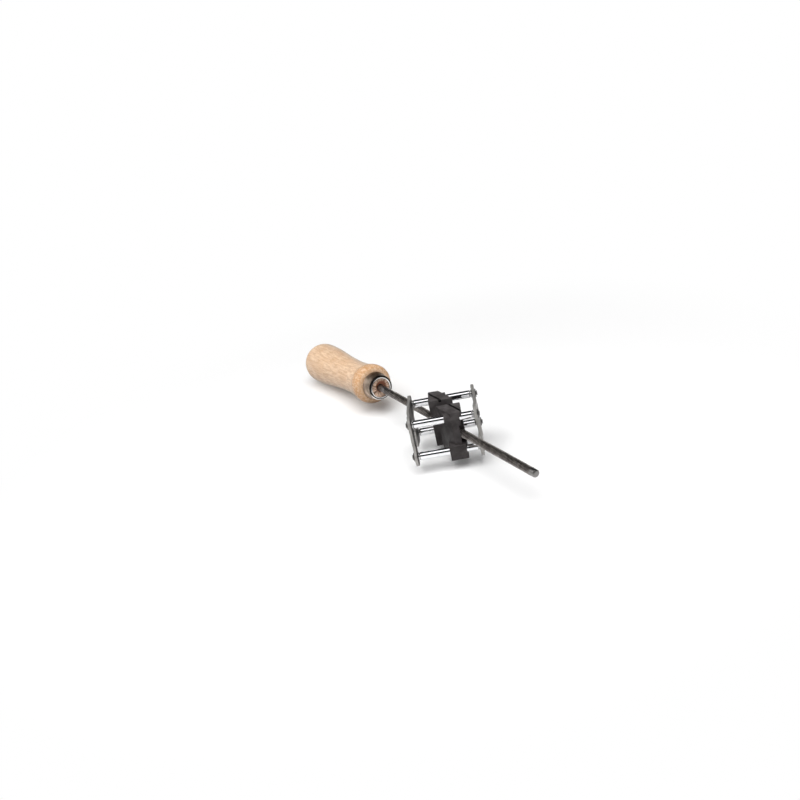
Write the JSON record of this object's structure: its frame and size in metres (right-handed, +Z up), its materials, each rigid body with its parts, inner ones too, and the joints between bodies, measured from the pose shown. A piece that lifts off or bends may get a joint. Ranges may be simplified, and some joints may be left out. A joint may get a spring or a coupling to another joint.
{
  "type": "chainsaw file guide",
  "caption": "Round file on a turned wooden handle, held at the filing angle by moulded guides that slide on rollers between pressed steel side plates.",
  "frame": {"origin": "middle of the underside of the whole tool's box, the level that the handle's butt reaches down to", "axes": "+X along the rollers and the saw's bar, +Y across the bar towards the handle, +Z up"},
  "size_m": [0.1688, 0.2782, 0.0409],
  "materials": {
    "plate_steel": "pressed sheet, satin",
    "roller_chrome": "polished",
    "washer_steel": "bright turned",
    "clip_steel": "blackened spring steel",
    "guide_plastic": "moulded, satin",
    "file_steel": "cut teeth, oiled",
    "ferrule_steel": "bright rolled rim, darkened side",
    "handle_wood": "turned beech, thinly oiled"
  },
  "bodies": {
    "frame": {"left_side_plate": "plate_steel", "right_side_plate": "plate_steel", "washer_rear_top_left": "washer_steel", "washer_rear_top_right": "washer_steel", "washer_front_top_left": "washer_steel", "washer_front_top_right": "washer_steel", "washer_front_bottom_left": "washer_steel", "washer_front_bottom_right": "washer_steel", "washer_rear_bottom_left": "washer_steel", "washer_rear_bottom_right": "washer_steel"},
    "rear_top_roller": {"roller_rear_top": "roller_chrome", "clip_rear_top_left": "clip_steel", "clip_rear_top_right": "clip_steel"},
    "front_top_roller": {"roller_front_top": "roller_chrome", "clip_front_top_left": "clip_steel", "clip_front_top_right": "clip_steel"},
    "front_bottom_roller": {"roller_front_bottom": "roller_chrome", "clip_front_bottom_left": "clip_steel", "clip_front_bottom_right": "clip_steel"},
    "rear_bottom_roller": {"roller_rear_bottom": "roller_chrome", "clip_rear_bottom_left": "clip_steel", "clip_rear_bottom_right": "clip_steel"},
    "guides": {"front_guide_block": "guide_plastic", "rear_guide_block": "guide_plastic"},
    "file": {"round_file": "file_steel", "ferrule": "ferrule_steel", "handle": "handle_wood"}
  },
  "joints": [
    {"name": "rear_top_roller_spin", "type": "hinge", "parent": "frame", "child": "rear_top_roller", "pos_m": [0.03149, -0.03656, 0.03477], "axis": [1, 0, 0], "continuous": true},
    {"name": "front_top_roller_spin", "type": "hinge", "parent": "frame", "child": "front_top_roller", "pos_m": [0.03149, -0.06916, 0.03477], "axis": [1, 0, 0], "continuous": true},
    {"name": "front_bottom_roller_spin", "type": "hinge", "parent": "frame", "child": "front_bottom_roller", "pos_m": [0.03149, -0.07086, 0.01257], "axis": [1, 0, 0], "continuous": true},
    {"name": "rear_bottom_roller_spin", "type": "hinge", "parent": "frame", "child": "rear_bottom_roller", "pos_m": [0.03149, -0.03486, 0.01257], "axis": [1, 0, 0], "continuous": true},
    {"name": "guides_slide", "type": "slide", "parent": "frame", "child": "guides", "axis": [1, 0, 0], "range_m": [-0.009, 0.0055]},
    {"name": "file_stroke", "type": "slide", "parent": "guides", "child": "file", "axis": [0.5, -0.866, 0], "range_m": [-0.07, 0.058]}
  ]
}
